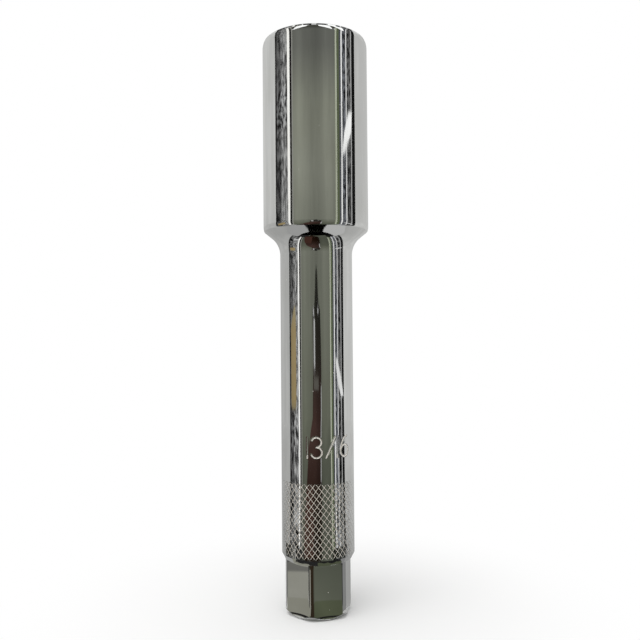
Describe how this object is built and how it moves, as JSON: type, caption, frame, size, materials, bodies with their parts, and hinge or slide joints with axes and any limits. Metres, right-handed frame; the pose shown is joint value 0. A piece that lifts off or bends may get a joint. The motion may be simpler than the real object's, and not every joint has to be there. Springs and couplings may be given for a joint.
{
  "type": "spark plug socket",
  "caption": "Long chromed steel spark plug socket: round head with hex mouth and rubber grip sleeve, slim shank, diamond knurled band, hex drive end with square hole.",
  "frame": {"origin": "centre of the drive end face, on which the socket stands", "axes": "+Z along the socket's axis towards the mouth, -Y towards the stamped size and one flat of each hexagon"},
  "size_m": [0.0278, 0.0278, 0.15],
  "materials": {
    "chrome_plate": "polished chrome plate on steel, with faint handling marks",
    "grip_rubber": "matt moulded black rubber"
  },
  "bodies": {
    "root": {"socket_body": "chrome_plate", "grip_insert": "grip_rubber"}
  },
  "joints": []
}
